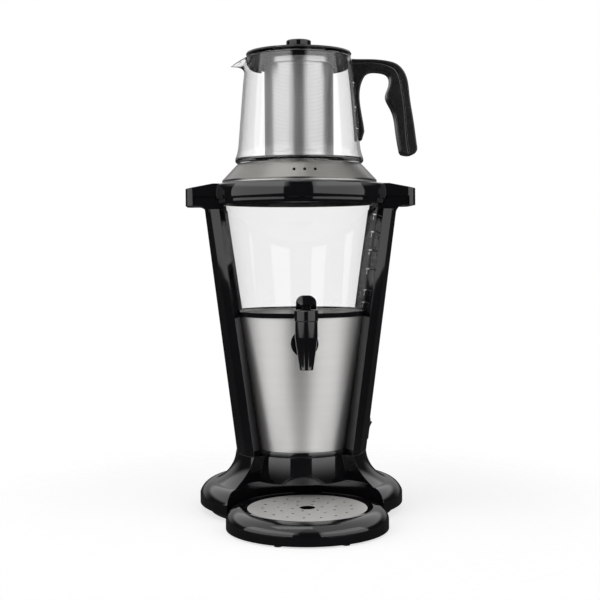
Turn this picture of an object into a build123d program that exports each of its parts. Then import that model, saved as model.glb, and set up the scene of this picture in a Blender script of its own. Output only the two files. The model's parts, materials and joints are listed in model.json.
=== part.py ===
from build123d import *
from math import cos, degrees, hypot, radians, sin, tan
import os

os.makedirs("parts", exist_ok=True)

# Millimetres. The origin is on the tower's axis, on the table. +Z is up, and the tap faces -Y.

# Clearances shared by every fit
touch_gap = 0.3  # curved faces that rest on each other
slip_gap = 0.6  # lift-out pieces in their seats
pin_gap = 0.05  # a pin or screw in its hole
moulded_wall = 2.5  # plastic shells

# Base bell
base_r = 101.0
base_floor_z = 7.0
skirt_top_z = 16.5
shoulder_r = 85.0
shoulder_z = 28.0
neck_r = 65.0
deck_z = 57.0
flare_bow = 4.7
rim_bow = 3.2
drum_r = 52.0
drum_floor_z = 31.0
plinth_inset = 7.0
plinth_z = 3.0
cover_flange_h = 2.2
foot_ring_inset = 3.0
foot_ring_w = 7.0
boss_ring_inset = 21.0
boss_r = 4.0
boss_angles = (-20.0, 35.0, 145.0, 200.0)
screw_r = 1.5
screw_head_r = 2.8
screw_head_h = 1.8
column_screw_x = 53.0
column_screw_y = 17.0

# Cord inlet at the back, and the terminal block behind it
gland_z = 13.5
gland_r = 3.8
gland_bore_r = 3.0
gland_reach = 2.5
terminal_half = 15.0
terminal_h = 12.0
terminal_depth = 12.0
terminal_y = 64.0
terminal_pitch = 9.0

# Drip tray and its recess in the base
tray_y = -95.0
tray_r = 75.4
tray_h = 20.5
tray_foot_h = 1.5
tray_foot_r = 3.5
tray_foot_turn = 25.0
tray_dome_z = 9.0
tray_lip_r = 61.0
tray_wall = 2.3
tray_floor = 2.2
grid_r = 55.5
grid_t = 1.0
grid_drop = 1.3
grid_ledge = 2.6
grid_centre_r = 7.25
grid_hole_r = 1.3
grid_ring_radii = (14.0, 27.0, 41.5)
grid_ring_counts = (6, 11, 17)
grid_hole_turn = 8.0
recess_gap = 3.6
notch_neck_r = 70.0
tongue_w = 24.0
tongue_h = 3.0
tongue_z = 8.0

# Tapered vessel: steel below, glass above, one cone
band_h = 4.8
band_proud = 2.5
band_bore_r = 38.0
vessel_low_r = 48.0
vessel_high_r = 82.0
vessel_high_z = 303.0
steel_wall = 1.2
steel_foot_bore_r = 40.0
steel_top_z = 194.0
joint_seal_h = 1.5
trim_low_z = 192.5
trim_high_z = 197.2
trim_t = 0.8
tank_wall = 2.5
tank_top_z = 313.5
heater_z = 150.0
heater_t = 2.0
element_r = 38.0
element_tube_r = 4.0
element_pin_r = 1.6
element_pin_h = 14.0
element_pin_angles = (70.0, 110.0)
thermostat_cap_r = 9.0
thermostat_r = 7.0
thermostat_h = 11.0
thermostat_tab_x = 4.0
fuse_r = 2.2
fuse_half = 9.0
fuse_y = 19.0

# Collar and columns
collar_r = 89.0
collar_low_z = 307.0
collar_high_z = 322.0
collar_flange = 4.5
collar_bow = 0.9
collar_hole_r = 72.0
collar_skirt_z = 302.2
collar_skirt_r = 86.3
lug_reach = 112.5
lug_half = 33.0
lug_corner = 8.0
lug_end_w = 7.0
lug_end_z = 317.0
lug_face_z = 309.5
arm_low_z = 300.5
arm_half = 30.5
arm_fillet = 6.0
arm_screw_inset = 13.5
arm_screw_y = 15.0
column_top_z = 297.0
column_low = ((64.0, 13.0), (56.0, 32.5), (47.5, 42.5), (41.0, 27.0))
column_high = ((94.0, 24.0), (88.5, 33.0), (80.0, 35.0), (73.0, 31.0))

# Rocker switch in the right column
switch_z = 78.0
switch_w = 15.0
switch_h = 21.0
switch_depth = 10.0
bezel_t = 1.6
bezel_rim = 1.6
bezel_round = 1.2
switch_body_inset = 1.5
rocker_tilt = 8.0
rocker_proud = 3.0
rocker_pin_r = 0.9

# Steam lid
lid_r = 77.0
lid_rim_h = 1.6
lid_top_r = 63.5
lid_top_z = 342.0
lid_wall = 1.0
lid_seal_h = 1.5
plug_z = 307.5
vent_r = 1.4
vent_x = 1.0
vent_pitch = 10.0
vent_drop = 8.5
steam_hole_r = 3.0
steam_ring_r = 22.0
steam_mouth_r = 14.0

# Teapot: outline heights are above its foot, spout depths are below its mouth
pot_foot_r = 59.0
pot_flare_r = 64.0
pot_flare_h = 5.5
pot_outline = ((61.0, 14.5), (59.6, 31.0), (56.5, 69.0), (54.8, 87.0))
pot_mouth_r = 51.8
pot_h = 107.0
pot_wall = 2.2
pot_floor_t = 3.0
spout_y_r = 17.0
spout_x = -49.5
spout_root_drop = 15.5
spout_root_r = 4.0
spout_lip_drop = 7.5
spout_bow = 1.5
spout_cut_slope = 33.0

# Pot handle: distance from the axis, and depth below the pot's mouth
handle_half = 10.5
handle_gap = 0.15
handle_round = 1.2
handle_root_x = 46.0
handle_split_drop = 6.5
handle_top = ((53.0, 3.0), (72.0, 3.2), (88.0, 4.8), (97.5, 8.0))
handle_back = ((105.1, 16.5), (109.6, 38.0), (113.3, 62.0), (117.3, 91.0))
handle_split = ((62.0, 6.5), (86.0, 8.4), (95.0, 13.0), (101.0, 28.0), (105.0, 57.0), (109.3, 98.4))
handle_ends = ((112.6, 97.8), (104.6, 97.8))
handle_grip = ((100.8, 93.5), (97.4, 73.0), (92.8, 52.0), (87.2, 38.5), (90.5, 28.0), (89.6, 18.5))
handle_window = ((80.0, 14.8), (69.2, 16.0), (62.4, 25.0), (60.8, 52.0), (64.4, 75.0))
strap_foot = ((62.0, 83.0), (52.0, 83.0))

# Pot lid and infuser
pot_lid_r = 52.5
pot_lid_t = 2.5
pot_lid_dome = 1.0
knob_r = 12.35
knob_neck_r = 7.5
knob_h = 11.5
knob_cap_h = 8.0
knob_screw_length = 10.0
infuser_r = 34.3
infuser_top_r = 37.5
infuser_step_drop = 9.0
infuser_floor_gap = 1.5
infuser_wall = 0.6
hanger_half_angle = 38.0
hanger_drop = 12.0
hanger_wall = 2.4

# Tap
tap_y = -95.0
tap_axis_z = 169.0
tap_end_z = 146.7
tap_end_r = 6.2
tap_shoulder_z = 177.0
tap_r = 10.6
tap_top_z = 191.7
tap_bore_r = 4.5
tap_stem_bore_r = 3.4
tap_chamber_r = 7.5
tap_seat_z = 173.0
tap_stem_r = 7.5
tap_flange_r = 13.1
tap_flange_t = 3.0
tap_flange_y = -69.5
tap_tail_r = 6.5
tap_tail_y = -46.0
tap_nut_r = 11.0
tap_nut_t = 6.0
tap_seal_r = 12.0
cap_top_z = 202.0
cap_r = 11.2
cap_bore_r = 6.0
cap_edge = 0.6
cap_front_wall = 2.3
cap_back_wall = 3.6
cap_slot_w = 8.4
lever_w = 18.6
lever_t = 7.0
lever_round = 7.0
lever_top_z = 215.5
lever_pivot_z = 196.0
lever_travel = 40.0
lever_ear_r = 4.0
lever_pin_r = 1.5
plug_r = 6.4
plug_h = 4.0
plug_stem_r = 2.2
plug_room = 3.8

# Sizes that follow from the ones above
plinth_r = base_r - plinth_inset
foot_ring_r = plinth_r - foot_ring_inset
boss_ring_r = base_r - boss_ring_inset
recess_r = tray_r + recess_gap
tray_inner_r = grid_r + 0.4
grid_z = tray_h - grid_drop
vessel_low_z = deck_z + band_h
vessel_slope = (vessel_high_r - vessel_low_r) / (vessel_high_z - vessel_low_z)
glass_low_z = steel_top_z + joint_seal_h
arm_screw_x = lug_reach - arm_screw_inset
lid_seat_z = collar_high_z + lid_seal_h
lid_low_z = lid_seat_z + lid_wall
pot_floor_z = lid_top_z
pot_mouth_z = pot_floor_z + pot_h
rim_seat_z = pot_mouth_z + 1.2
lid_disc_z = rim_seat_z + touch_gap
knob_low_z = lid_disc_z + pot_lid_t + pot_lid_dome
knob_top_z = knob_low_z + knob_h
infuser_low_z = pot_floor_z + pot_floor_t + infuser_floor_gap
infuser_step_z = pot_mouth_z - infuser_step_drop

# The switch sits square to the right column's outer face, which leans outwards
face_lean = degrees((column_high[0][0] - column_low[0][0]) / (column_top_z - deck_z))
switch_x = column_low[0][0] + (switch_z - deck_z) * tan(radians(face_lean))
switch_place = Pos(switch_x, 0, switch_z) * Rot(0, face_lean, 0)


def vessel_r(z):
    """Outer radius of the tapered vessel at height z."""
    return vessel_low_r + vessel_slope * (z - vessel_low_z)


def round_bar(r, length):
    """Upright cylinder that stands on the origin."""
    return Cylinder(r, length, align=(Align.CENTER, Align.CENTER, Align.MIN))


def disc(r, low, high, x=0.0, y=0.0):
    """Upright cylinder between two heights."""
    return Pos(x, y, low) * round_bar(r, high - low)


def ring(outer_r, inner_r, low, high, x=0.0, y=0.0):
    """Upright ring between two heights."""
    return disc(outer_r, low, high, x, y) - disc(inner_r, low - 1, high + 1, x, y)


def frustum(low_r, high_r, low, high, x=0.0, y=0.0):
    """Upright cone frustum between two heights."""
    return Pos(x, y, low) * Cone(low_r, high_r, high - low, align=(Align.CENTER, Align.CENTER, Align.MIN))


def vessel_cone(low, high, proud=0.0):
    """The vessel's cone between two heights, moved outwards by proud."""
    return frustum(vessel_r(low) + proud, vessel_r(high) + proud, low, high)


def vessel_shell(low, high, outer, inner):
    """Conical band whose faces stand outer and inner from the vessel's outside."""
    return vessel_cone(low, high, outer) - vessel_cone(low - 1, high + 1, inner)


def block(x_span, y_span, z_span):
    """Box between pairs of coordinates."""
    sizes = [span[1] - span[0] for span in (x_span, y_span, z_span)]
    return Pos(x_span[0], y_span[0], z_span[0]) * Box(*sizes, align=(Align.MIN, Align.MIN, Align.MIN))


def rod_y(r, low, high, x, z):
    """Cylinder along Y between two depths."""
    return Pos(x, low, z) * Rot(-90, 0, 0) * round_bar(r, high - low)


def rod_x(r, low, high, y, z):
    """Cylinder along X between two places."""
    return Pos(low, y, z) * Rot(0, 90, 0) * round_bar(r, high - low)


def bowed(start, end, rise):
    """Arc whose middle stands rise to the left of the way from start to end."""
    run = (end[0] - start[0], end[1] - start[1])
    share = rise / hypot(*run)
    middle = ((start[0] + end[0]) / 2 - share * run[1], (start[1] + end[1]) / 2 + share * run[0])
    return ThreePointArc(start, middle, end)


def upright_face(edges):
    """Face in the XZ plane inside a closed run of edges."""
    return make_face([Plane.XZ * edge for edge in edges])


def turned(*edges):
    """Solid of revolution about Z from a closed outline of radius and height."""
    return revolve(upright_face(edges), Axis.Z)


def turned_polygon(*points):
    """Solid of revolution about Z from corner points of radius and height."""
    return revolve(make_face(Plane.XZ * Polyline(*points, close=True)), Axis.Z)


def side_plate(edges, half):
    """Plate about y = 0, half as thick each way, with its outline in the XZ plane."""
    return extrude(upright_face(edges), half, both=True)


def polar(r, angle):
    """X and Y of a point on a circle about the axis."""
    return r * cos(radians(angle)), r * sin(radians(angle))


def bell(inset, floor_z):
    """Solid bell of the base, drawn in by inset."""
    rim = (base_r - inset, floor_z)
    skirt = (base_r - inset, skirt_top_z - 0.4 * inset)
    shoulder = (shoulder_r - 0.5 * inset, shoulder_z - inset)
    neck = (neck_r - inset, deck_z - inset)
    return turned(
        Line((0, floor_z), rim),
        Line(rim, skirt),
        bowed(skirt, shoulder, -rim_bow),
        bowed(shoulder, neck, flare_bow),
        Line(neck, (0, deck_z - inset)),
        Line((0, deck_z - inset), (0, floor_z)),
    )


def notch(outset, floor_z):
    """Front recess over the tray, narrowing up to the neck."""
    top = deck_z + 1
    return disc(recess_r + outset, floor_z, drum_floor_z, 0, tray_y) + frustum(
        recess_r + outset, notch_neck_r + outset, drum_floor_z, top, 0, tray_y
    )


def boss_places():
    """Centres of the four cover screws."""
    return [polar(boss_ring_r, angle) for angle in boss_angles]


def column_screw_places():
    """Centres of the screws that hold the columns to the deck."""
    return [(side * column_screw_x, end * column_screw_y) for side in (1, -1) for end in (1, -1)]


def arm_screw_places():
    """Centres of the screws that hold the collar's lugs to the arms."""
    return [(side * arm_screw_x, end * arm_screw_y) for side in (1, -1) for end in (1, -1)]


def tongue(gap):
    """Locating tongue between the tray and the base, grown by gap."""
    back_y = tray_y + recess_r + moulded_wall
    return block(
        (-tongue_w / 2 - gap, tongue_w / 2 + gap),
        (tray_y + tray_r - 2 * tray_wall, back_y + gap),
        (tongue_z - gap, tongue_z + tongue_h + gap),
    )


def make_base_shell():
    """One moulding: bell skirt, front drum over the tray, deck and screw bosses."""
    outer = bell(0, base_floor_z) - notch(0, base_floor_z - 1) + disc(drum_r, drum_floor_z, deck_z)
    hollow = bell(moulded_wall, base_floor_z - 1) - notch(moulded_wall, base_floor_z - 2)
    hollow += disc(drum_r - moulded_wall, drum_floor_z + moulded_wall, deck_z - moulded_wall)
    low = base_floor_z + cover_flange_h
    bosses = Part() + [ring(boss_r, screw_r + pin_gap, low, shoulder_z + 6, x, y) for x, y in boss_places()]
    bosses &= bell(0.5 * moulded_wall, base_floor_z)
    shell = outer - hollow + bosses
    shell -= disc(drum_r / 3, deck_z - 2 * moulded_wall, deck_z + 1, 0, 10)
    shell -= tongue(touch_gap)
    shell -= rod_y(gland_r + pin_gap, plinth_r, base_r + 1, 0, gland_z)
    for x, y in column_screw_places():
        shell -= disc(screw_r + pin_gap, deck_z - 2 * moulded_wall, deck_z + 1, x, y)
    return shell


def make_bottom_cover():
    """Plinth plate that closes the bell, with cooling slots and countersunk screw seats."""
    top = base_floor_z + cover_flange_h
    cut_r = recess_r + moulded_wall + touch_gap
    cover = disc(plinth_r, plinth_z, base_floor_z)
    cover += disc(base_r - moulded_wall - touch_gap, base_floor_z, top)
    cover -= disc(cut_r, plinth_z - 1, top + 1, 0, tray_y)
    slot = SlotOverall(34.0, 3.0)
    for row in range(5):
        cover -= Pos(0, 14 + 9 * row, plinth_z - 1) * extrude(slot, top + 2)
    for x, y in boss_places():
        cover -= disc(screw_r + pin_gap, plinth_z - 1, top + 1, x, y)
        cover -= disc(screw_head_r + pin_gap, plinth_z - 1, plinth_z + screw_head_h, x, y)
    cover -= rod_y(gland_r + touch_gap, plinth_r - 6, base_r + 1, 0, gland_z)
    return cover - tongue(touch_gap)


def make_foot_ring():
    """Rubber strip under the plinth, open at the front where the tray slides in."""
    strip = ring(foot_ring_r, foot_ring_r - foot_ring_w, 0, plinth_z)
    strip -= disc(recess_r + 2 * moulded_wall + 4, -1, plinth_z + 1, 0, tray_y)
    for x, y in boss_places():
        strip -= disc(screw_head_r + 1, -1, plinth_z + 1, x, y)
    return strip


def screw(x, y, seat_z, length):
    """Screw driven upwards, its head below seat_z."""
    head = disc(screw_head_r, seat_z - screw_head_h, seat_z, x, y)
    return head + disc(screw_r, seat_z, seat_z + length, x, y)


def make_bottom_screws():
    """Four screws through the cover into the bosses."""
    seat = plinth_z + screw_head_h
    return Part() + [screw(x, y, seat, 14.0) for x, y in boss_places()]


def make_column_screws():
    """Four screws up through the deck into the columns."""
    seat = deck_z - moulded_wall
    return Part() + [screw(x, y, seat, 10.0) for x, y in column_screw_places()]


def make_cord_gland():
    """Round inlet at the back of the skirt."""
    end = base_r + gland_reach
    body = rod_y(gland_r, plinth_r + 1, end, 0, gland_z)
    flange = rod_y(gland_r + 1.2, base_r + 0.2, end, 0, gland_z)
    return body + flange - rod_y(gland_bore_r, plinth_r - 1, end + 1, 0, gland_z)


def make_terminal_block():
    """Three-way terminal block on the cover, inside the bell."""
    low = base_floor_z + cover_flange_h
    front = terminal_y - terminal_depth / 2
    back = terminal_y + terminal_depth / 2
    body = block((-terminal_half, terminal_half), (front, back), (low, low + terminal_h))
    for step in (-1, 0, 1):
        x = step * terminal_pitch
        body -= rod_y(1.8, front - 1, back + 1, x, low + terminal_h / 3)
        body -= disc(2.0, low + terminal_h / 2 + 1, low + terminal_h + 1, x, terminal_y)
    return body


def column_points(z, side):
    """Corners of a column's plan at height z."""
    share = (z - deck_z) / (column_top_z - deck_z)
    half = [
        (low[0] + share * (high[0] - low[0]), low[1] + share * (high[1] - low[1]))
        for low, high in zip(column_low, column_high)
    ]
    points = half + [(x, -y) for x, y in reversed(half)]
    return [(side * x, y) for x, y in points]


def column_blade(low, high, inset, side):
    """Tapering blade of a column between two heights, drawn in by inset."""
    faces = []
    for z in (low, high):
        face = make_face(Polyline(*column_points(z, side), close=True))
        if inset:
            face = offset(face, -inset, kind=Kind.INTERSECTION)
        faces.append(Pos(0, 0, z) * face)
    return loft(faces, ruled=True)


def column_arm(side):
    """Outward arm at a column's head, with a fillet under it, that carries the collar's lug."""
    root_x = column_high[0][0]
    end_x = lug_reach - lug_end_w - touch_gap
    foot_z = arm_low_z - arm_fillet
    outline = [
        Line((column_high[3][0], foot_z), (root_x - 1, foot_z)),
        bowed((root_x - 1, foot_z), (root_x + arm_fillet, arm_low_z), 0.25 * arm_fillet),
        Line((root_x + arm_fillet, arm_low_z), (end_x, arm_low_z)),
        Line((end_x, arm_low_z), (end_x, lug_face_z)),
        Line((end_x, lug_face_z), (column_high[3][0], lug_face_z)),
        Line((column_high[3][0], lug_face_z), (column_high[3][0], foot_z)),
    ]
    arm = side_plate(outline, arm_half)
    return arm if side > 0 else mirror(arm, Plane.YZ)


def make_column(side):
    """Hollow column that hugs the vessel, with screw bosses at its foot."""
    column = column_blade(deck_z, column_top_z, 0, side) + column_arm(side)
    column -= vessel_cone(deck_z - 1, collar_high_z, touch_gap)
    column -= disc(collar_skirt_r + touch_gap, collar_skirt_z - touch_gap, collar_low_z)
    column -= disc(collar_r + touch_gap, collar_low_z - touch_gap, lug_face_z + 1)
    column -= disc(vessel_low_r + band_proud + touch_gap, deck_z - 1, vessel_low_z + touch_gap)
    column -= vessel_cone(trim_low_z - touch_gap, trim_high_z + touch_gap, trim_t + 2 * touch_gap)
    hollow = column_blade(deck_z + moulded_wall, column_top_z - 4, moulded_wall, side)
    hollow -= vessel_cone(deck_z, column_top_z, moulded_wall + touch_gap)
    column -= hollow
    for x, y in column_screw_places():
        if x * side > 0:
            boss = disc(boss_r - 0.4, deck_z + 1, deck_z + 12, x, y)
            column += boss - vessel_cone(deck_z - 1, column_top_z, touch_gap)
            column -= disc(screw_r + pin_gap, deck_z - 1, deck_z + 11, x, y)
    for x, y in arm_screw_places():
        column -= disc(screw_r + pin_gap, arm_low_z - 1, lug_face_z + 1, x, y)
        column -= disc(screw_head_r + pin_gap, arm_low_z - 1, arm_low_z + screw_head_h, x, y)
    return column


def make_arm_screws():
    """Four screws up through the arms into the collar's lugs."""
    seat = arm_low_z + screw_head_h
    return Part() + [screw(x, y, seat, 12.0) for x, y in arm_screw_places()]


def make_switch_frame():
    """Bezel and body of the rocker switch, open to the outside, with a hole for the rocker's pin."""
    half_w = switch_w / 2 - switch_body_inset
    half_h = switch_h / 2 - switch_body_inset
    body = block((-switch_depth, bezel_t), (-half_w, half_w), (-half_h, half_h))
    bezel = block((0.05, bezel_t), (-switch_w / 2, switch_w / 2), (-switch_h / 2, switch_h / 2))
    bezel = fillet(bezel.edges().filter_by(Axis.X), bezel_round)
    well_w = half_w - bezel_rim
    well_h = half_h + 0.5 - bezel_rim
    well = block((-switch_depth + moulded_wall, bezel_t + 1), (-well_w, well_w), (-well_h, well_h))
    return switch_place * (body + bezel - well - rod_y(rocker_pin_r + pin_gap, -half_w - 1, half_w + 1, 0, 0))


def switch_pocket():
    """Room for the switch body in the column."""
    half_w = switch_w / 2 - switch_body_inset + pin_gap
    half_h = switch_h / 2 - switch_body_inset + pin_gap
    return switch_place * block((-switch_depth - 1, 6), (-half_w, half_w), (-half_h, half_h))


def make_rocker():
    """Rocker of the switch, tipped to its off side, with a bore for its pin."""
    half_w = switch_w / 2 - switch_body_inset - bezel_rim - touch_gap
    half_h = switch_h / 2 - switch_body_inset - bezel_rim - 0.4
    back = -2.0
    outline = [
        Line((back, -half_h), (rocker_proud, -half_h)),
        bowed((rocker_proud, -half_h), (rocker_proud, half_h), 1.0),
        Line((rocker_proud, half_h), (back, half_h)),
        bowed((back, half_h), (back, -half_h), -1.2),
    ]
    rocker = side_plate(outline, half_w) - rod_y(rocker_pin_r + pin_gap, -half_w - 1, half_w + 1, 0, 0)
    return switch_place * Rot(0, rocker_tilt, 0) * rocker


def make_switch_pin():
    """Pin that the rocker tips on, held in the frame's sides."""
    half = switch_w / 2 - switch_body_inset - 0.2
    return switch_place * rod_y(rocker_pin_r, -half, half, 0, 0)


def make_body_ring():
    """Black band between the deck and the steel."""
    outer = vessel_low_r + band_proud
    return turned(
        Line((band_bore_r, deck_z), (outer, deck_z)),
        bowed((outer, deck_z), (outer - 0.6, vessel_low_z), -0.5),
        Line((outer - 0.6, vessel_low_z), (band_bore_r, vessel_low_z)),
        Line((band_bore_r, vessel_low_z), (band_bore_r, deck_z)),
    )


def make_steel_body():
    """Brushed steel cone with an inturned foot and a hole for the tap."""
    body = vessel_shell(vessel_low_z, steel_top_z, 0, -steel_wall)
    body += ring(vessel_low_r - 0.5, steel_foot_bore_r, vessel_low_z, vessel_low_z + steel_wall)
    return body - rod_y(tap_tail_r + pin_gap, -vessel_high_r, 0, 0, tap_axis_z)


def make_tank_seal():
    """Silicone joint between the steel's top edge and the glass."""
    return vessel_shell(steel_top_z, glass_low_z, 0, -tank_wall)


def make_glass_tank():
    """Conical glass tank, open at both ends."""
    return vessel_shell(glass_low_z, tank_top_z, 0, -tank_wall)


def make_trim_ring():
    """Black band that covers the joint from outside."""
    return vessel_shell(trim_low_z, trim_high_z, trim_t + 0.05, 0.05)


def make_rim_seal():
    """Silicone ring between the tank's rim and the collar."""
    r = vessel_r(tank_top_z)
    return ring(r + 0.4, r - tank_wall - 0.8, tank_top_z, collar_high_z - collar_flange)


def make_heater_plate():
    """Dished steel floor of the vessel, welded to the wall."""
    gap = 0.1 + steel_wall
    plate = vessel_cone(heater_z, heater_z + heater_t, -gap)
    wall = vessel_shell(heater_z + heater_t, heater_z + 8, -gap, -gap - 1.2)
    tap_room = rod_y(tap_nut_r + 1, -vessel_high_r, -20, 0, tap_axis_z)
    return plate + (wall - tap_room)


def make_heating_element():
    """Round heating element brazed under the plate, with two upright terminals."""
    z = heater_z - element_tube_r
    tube = Pos(0, 0, z) * Torus(element_r, element_tube_r - 0.02)
    places = [polar(element_r, angle) for angle in element_pin_angles]
    return tube + [disc(element_pin_r, z - element_pin_h, z, x, y) for x, y in places]


def make_thermostat():
    """Snap disc thermostat under the middle of the plate."""
    rim_z = heater_z - 3
    low = heater_z - thermostat_h
    body = disc(thermostat_cap_r, rim_z, heater_z) + disc(thermostat_r, low, rim_z)
    for x in (-thermostat_tab_x, thermostat_tab_x):
        body += block((x - 0.4, x + 0.4), (-3, 3), (low - 8, low + 1))
    return body


def make_thermal_fuse():
    """Thermal fuse in its strap, beside the thermostat."""
    fuse = rod_x(fuse_r, -fuse_half, fuse_half, fuse_y, heater_z - fuse_r - 0.1)
    strap_half = fuse_half / 3
    strap_low = heater_z - 2 * fuse_r - 0.9
    return fuse + block((-strap_half, strap_half), (fuse_y - 5, fuse_y + 5), (strap_low, heater_z))


def make_collar():
    """Ring round the tank's rim, with a lower skirt and a lug each side that caps a column."""
    groove_r = vessel_r(tank_top_z) + 0.9
    under_z = collar_high_z - collar_flange
    edge = ((collar_r - 0.7, collar_low_z), (collar_r - 1.6, collar_high_z - 1.0))
    body = turned(
        Line((groove_r, collar_skirt_z), (collar_skirt_r - 0.5, collar_skirt_z)),
        bowed((collar_skirt_r - 0.5, collar_skirt_z), (collar_skirt_r, collar_low_z), -0.2),
        Line((collar_skirt_r, collar_low_z), edge[0]),
        bowed(edge[0], edge[1], -collar_bow),
        Line(edge[1], (collar_r - 3.0, collar_high_z)),
        Line((collar_r - 3.0, collar_high_z), (collar_hole_r, collar_high_z)),
        Line((collar_hole_r, collar_high_z), (collar_hole_r, under_z)),
        Line((collar_hole_r, under_z), (groove_r, under_z)),
        Line((groove_r, under_z), (groove_r, collar_skirt_z)),
    )
    lip_x = lug_reach - lug_end_w
    for side in (1, -1):
        profile = Polyline(
            (side * 80, lug_face_z),
            (side * lip_x, lug_face_z),
            (side * lip_x, arm_low_z),
            (side * lug_reach, arm_low_z),
            (side * lug_reach, lug_end_z),
            (side * (collar_r - 3), collar_high_z),
            (side * 80, collar_high_z),
            close=True,
        )
        lug = extrude(make_face(Plane.XZ * profile), lug_half, both=True)
        plan = RectangleRounded(2 * lug_reach, 2 * lug_half, lug_corner)
        lug &= Pos(0, 0, arm_low_z - 1) * extrude(plan, 40)
        lug -= disc(groove_r, arm_low_z, under_z)
        lug -= disc(collar_hole_r, arm_low_z, collar_high_z + 1)
        for x, y in arm_screw_places():
            lug -= disc(screw_r + pin_gap, lug_face_z - 1, lug_face_z + 6, x, y)
        body += lug
    return body


def make_steam_lid():
    """Spun steel cone that carries the pot, with steam holes in its top and vents in front."""
    rim_z = lid_low_z + lid_rim_h
    edge = 1.5
    outer = turned_polygon(
        (0, lid_low_z),
        (lid_r, lid_low_z),
        (lid_r, rim_z),
        (lid_top_r, lid_top_z - edge),
        (lid_top_r - edge, lid_top_z),
        (0, lid_top_z),
    )
    inner = turned_polygon(
        (0, lid_low_z - 1),
        (lid_r - lid_wall, lid_low_z - 1),
        (lid_r - lid_wall, rim_z - 0.5),
        (lid_top_r - lid_wall, lid_top_z - edge - lid_wall),
        (0, lid_top_z - lid_wall),
    )
    lid = outer - inner
    for turn in range(6):
        x, y = polar(steam_ring_r, 60 * turn)
        lid -= disc(steam_hole_r, lid_top_z - 3, lid_top_z + 1, x, y)
    for step in (-1, 0, 1):
        lid -= rod_y(vent_r, -lid_r, -lid_top_r / 2, vent_x + step * vent_pitch, lid_top_z - vent_drop)
    return lid


def make_steam_pan():
    """Steel pan under the lid that plugs the collar, open in the middle for steam."""
    r = collar_hole_r - slip_gap
    outer = disc(r, plug_z, lid_low_z) + disc(lid_r - touch_gap, lid_seat_z, lid_low_z)
    pan = outer - disc(r - lid_wall, plug_z + lid_wall, lid_low_z + 1)
    return pan - disc(steam_mouth_r, plug_z - 1, plug_z + 3)


def make_lid_seal():
    """Silicone ring under the pan's flange."""
    return ring(lid_r - 3.0, collar_hole_r + 0.4, collar_high_z, lid_seat_z)


def pot_form(inset, floor_z, top_z):
    """The pot's solid form with its pulled spout, drawn in by inset."""
    outline = [(r - inset, pot_floor_z + rise) for r, rise in pot_outline]
    foot = (pot_foot_r - inset, floor_z)
    flare = (pot_flare_r - inset, pot_floor_z + pot_flare_h)
    mouth = (pot_mouth_r - inset, top_z)
    form = turned(
        Line((0, floor_z), foot),
        bowed(foot, flare, -1.4),
        Spline(flare, *outline, mouth),
        Line(mouth, (0, top_z)),
        Line((0, top_z), (0, floor_z)),
    )
    root = (spout_root_r, pot_mouth_z - spout_root_drop + inset)
    lip = (spout_y_r - inset, pot_mouth_z - spout_lip_drop + 0.4 * inset)
    spout = turned(
        Line((0, root[1]), root),
        bowed(root, lip, spout_bow),
        Line(lip, (lip[0], top_z)),
        Line((lip[0], top_z), (0, top_z)),
        Line((0, top_z), (0, root[1])),
    )
    return form + Pos(spout_x, 0, 0) * spout


def make_pot_glass():
    """Blown glass pot with one wall throughout and a spout pulled from its rim."""
    outer = pot_form(0, pot_floor_z, pot_mouth_z)
    inner = pot_form(pot_wall, pot_floor_z + pot_floor_t, pot_mouth_z + 1)
    glass = outer - inner
    lip_room = block((-2 * spout_y_r, 0), (-2 * spout_y_r, 2 * spout_y_r), (0, 2 * spout_y_r))
    return glass - Pos(-pot_mouth_r + 1.5, 0, pot_mouth_z) * Rot(0, -spout_cut_slope, 0) * lip_room


def below_mouth(points):
    """Points in the XZ plane from distances and depths below the pot's mouth."""
    return [(x, pot_mouth_z - drop) for x, drop in points]


def handle_piece(edges):
    """Rounded plate of the handle, seated on the glass."""
    plate = side_plate(edges, handle_half)
    plate = fillet(plate.faces().filter_by(Axis.Y).edges(), handle_round)
    return plate - pot_form(-handle_gap, pot_floor_z, pot_mouth_z + 1)


def make_pot_handle():
    """Core of the handle: the strap on the glass, the top arm and the inner side of the grip."""
    split = below_mouth(handle_split)
    inside = below_mouth(handle_grip + handle_window)
    strap = below_mouth(strap_foot)
    end = below_mouth(handle_ends)[1]
    root = below_mouth([(handle_root_x, handle_split_drop)])[0]
    return handle_piece([
        Spline(*split),
        Line(split[-1], end),
        bowed(end, inside[0], 0.9),
        Spline(*inside),
        Line(inside[-1], strap[0]),
        Line(strap[0], strap[1]),
        Line(strap[1], root),
        Line(root, split[0]),
    ])


def make_handle_cover():
    """Outer cover of the handle, a separate moulding along its back."""
    split = below_mouth(handle_split)
    back = below_mouth(handle_top + handle_back)
    end = below_mouth(handle_ends)[0]
    root = below_mouth([(handle_root_x, handle_split_drop)])[0]
    head = (handle_root_x, back[0][1])
    return handle_piece([
        Spline(*back),
        bowed(back[-1], end, 1.3),
        Line(end, split[-1]),
        Spline(*split),
        Line(split[0], root),
        Line(root, head),
        Line(head, back[0]),
    ])


def wedge(half_angle, r, low, high):
    """Pair of opposite sectors about the X axis."""
    x, y = polar(r * 2, half_angle)
    sector = make_face(Polyline((0, 0), (x, y), (x, -y), close=True))
    both = sector + mirror(sector, Plane.YZ)
    return Pos(0, 0, low) * extrude(both, high - low)


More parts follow.
